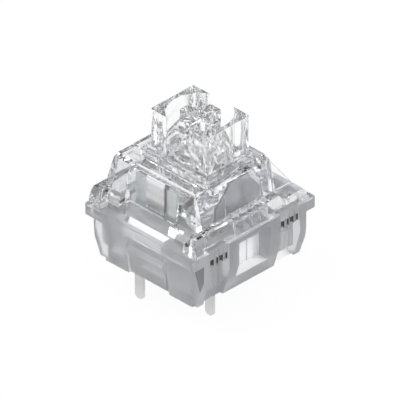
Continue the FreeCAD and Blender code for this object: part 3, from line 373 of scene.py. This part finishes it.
# Faces of the base painted lighter or darker, as painted light and painted shade.
BASE_PAINTED_LIGHT_AND_SHADE = [
    # The sill of the tab's window, and the grooved wall behind the window: lighter copies of the frosted
    # plastic, as painted light.
    (PAINTED_LIGHT_FROSTED, {"aside": (5.4, FAR), "along": (-FAR, 2.1), "height": (1.75, 1.85), "upward": (0.9, FAR)}),
    (WALL_PAINTED_LIGHT, {"aside": (5.25, 5.5), "along": (-FAR, 2.05), "height": (1.8, 5.9)}),
    # The wall behind the far latch leg, in painted light.
    (WALL_PAINTED_LIGHT, {"aside": (5.4, 6.0), "behind": (3.2, 5.8), "height": (1.0, 5.3), "facing_x": (0.8, FAR)}),
    # The slot above the clip, and the walls of the clip's recess on either side of the clip, in near-white
    # painted light.
    (PAINTED_LIGHT_FROSTED, {"aside": (-FAR, 2.6), "along": (6.3, 7.25), "height": (4.85, 5.99), "upward": (0.3, FAR)}),
    (PAINTED_LIGHT_FROSTED, {"aside": (2.5, 2.6), "along": (6.1, 7.0), "height": (-FAR, 4.8), "facing_x": (0.9, FAR)}),
    # The chamfers of the body's upright corners, darkened as painted shade.
    (FROSTED_PAINTED_SHADE, {"along": (6.4, FAR), "height": (0.5, 4.9), "facing_x": (0.3, FAR),
                     "facing_y": (0.3, FAR), "facing_z": (-FAR, 0.3)}),
]


def measures(face):
    """Where a face's middle lies and where the face looks, by the names used above."""
    middle = face.center / MM
    normal = face.normal
    return {"aside": abs(middle.x), "along": abs(middle.y), "behind": middle.y, "height": middle.z,
            "facing_x": abs(normal.x), "facing_y": abs(normal.y), "facing_z": abs(normal.z),
            "upward": normal.z}


def accent(piece, material, limits):
    """Another material on the faces whose measures lie within the limits."""
    piece.data.materials.append(material)
    for face in piece.data.polygons:
        found = measures(face)
        if all(low < found[name] < high for name, (low, high) in limits.items()):
            face.material_index = len(piece.data.materials) - 1


def dress(piece, material):
    piece.data.materials.clear()
    piece.data.materials.append(material)


# Pieces.

def add_seams(work, planes):
    """Cuts the faces along planes, so that no flat face runs right round an opening."""
    for normal, distance in planes:
        cut = bmesh.ops.bisect_plane(work, geom=work.verts[:] + work.edges[:] + work.faces[:], dist=CUT_REACH,
                                     plane_co=Vector(normal) * distance * MM, plane_no=normal)
        for part in cut["geom_cut"]:
            if isinstance(part, bmesh.types.BMEdge):
                part.seam = True


def make_moulded(node, name, seams, material, accents, body):
    """A copy of a moulded node whose edges are rounded, as a mould leaves them."""
    mesh = bpy.data.meshes.new(name)
    work = bmesh.new()
    work.from_mesh(NODES[node].data)
    bmesh.ops.remove_doubles(work, verts=work.verts, dist=MERGE_REACH)
    add_seams(work, seams)
    bmesh.ops.dissolve_limit(work, angle_limit=FLAT_ANGLE, verts=work.verts, edges=work.edges,
                             delimit={"SEAM"})
    bmesh.ops.recalc_face_normals(work, faces=work.faces)
    work.normal_update()
    for vertex in work.verts:
        vertex.co -= vertex.normal * DRAW_BACK
    for face in work.faces:
        face.smooth = True
    work.to_mesh(mesh)
    work.free()
    piece = add_object(name, mesh)
    bevel = piece.modifiers.new("edges", "BEVEL")
    bevel.width = EDGE_WIDTH
    bevel.segments = EDGE_SEGMENTS
    bevel.limit_method = "ANGLE"
    bevel.angle_limit = EDGE_ANGLE
    bevel.use_clamp_overlap = True
    bevel.miter_outer = "MITER_ARC"
    flat = piece.modifiers.new("flat_faces", "WEIGHTED_NORMAL")
    flat.weight = FLAT_WEIGHT
    flat.keep_sharp = True
    evaluated = piece.evaluated_get(bpy.context.evaluated_depsgraph_get())
    final = bpy.data.meshes.new_from_object(evaluated)
    piece.modifiers.clear()
    piece.data = final
    dress(piece, material)
    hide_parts(node)
    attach(piece, body)
    for other, limits in accents:
        accent(piece, other, limits)


def make_terminal():
    """The leaf terminal, its plate drawn out as far to the right as the photo shows."""
    mesh = NODES["leaf_terminal"].data.copy()
    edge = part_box("leaf_terminal")[1].x
    for vertex in mesh.vertices:
        if vertex.co.x > edge - PLATE_REACH:
            vertex.co.x = PLATE_RIGHT
    terminal = add_object("wide_terminal", mesh)
    dress(terminal, SHEET_METAL)
    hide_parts("leaf_terminal")
    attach(terminal, "housing")


def make_spring():
    """Round wire with closed ends, in place of the flat-sided one."""
    low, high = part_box("return_spring")
    radius = high.x - WIRE_RADIUS
    closed_pitch = 2 * WIRE_RADIUS
    open_turns = SPRING_TURNS - 2 * CLOSED_TURNS
    open_height = (high.z - low.z) - 2 * WIRE_RADIUS - 2 * CLOSED_TURNS * closed_pitch
    curve = bpy.data.curves.new("spring_coil", "CURVE")
    curve.dimensions = "3D"
    curve.bevel_depth = WIRE_RADIUS
    curve.bevel_resolution = WIRE_SMOOTHNESS
    spline = curve.splines.new("POLY")
    count = int(SPRING_TURNS * STEPS_PER_TURN)
    spline.points.add(count)
    for index in range(count + 1):
        turn = index / STEPS_PER_TURN
        lower = min(turn, CLOSED_TURNS) * closed_pitch
        upper = max(turn - (SPRING_TURNS - CLOSED_TURNS), 0.0) * closed_pitch
        between = min(max(turn - CLOSED_TURNS, 0.0), open_turns) / open_turns * open_height
        z = low.z + WIRE_RADIUS + lower + between + upper
        angle = 2 * math.pi * turn
        spline.points[index].co = (radius * math.cos(angle), radius * math.sin(angle), z, 1)
    raw = add_object("spring_path", curve)
    mesh = bpy.data.meshes.new_from_object(raw.evaluated_get(bpy.context.evaluated_depsgraph_get()))
    bpy.data.objects.remove(raw)
    spring = add_object("spring_coil", mesh)
    for face in mesh.polygons:
        face.use_smooth = True
    dress(spring, SPRING_METAL)
    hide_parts("return_spring")
    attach(spring, "housing")
    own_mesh(spring)


make_camera()
make_world()
make_floor()
for lamp_name, lamp in LAMPS.items():
    make_lamp(lamp_name, *lamp)

make_moulded("upper_housing", "cover", MIDDLE + LEG_WINDOWS, CLEAR, COVER_ACCENTS, "housing")
make_moulded("lower_housing", "base", MIDDLE + LEG_WINDOWS, FROSTED, BASE_PAINTED_LIGHT_AND_SHADE, "housing")
make_moulded("stem", "slider", MIDDLE, STEM_CLEAR, [], "stem")
make_spring()
make_terminal()
dress(NODES["fixed_terminal"], SHEET_METAL)
dress(NODES["contact_leaf"], LEAF_METAL)
dress(NODES["fixed_contact_bar"], GOLD)
dress(NODES["moving_contact_bar"], GOLD)

SCENE.view_settings.view_transform = "Standard"
SCENE.cycles.max_bounces = CLEAR_BOUNCES
SCENE.cycles.transmission_bounces = CLEAR_BOUNCES
SCENE.cycles.glossy_bounces = GLOSSY_BOUNCES

bpy.context.view_layer.update()
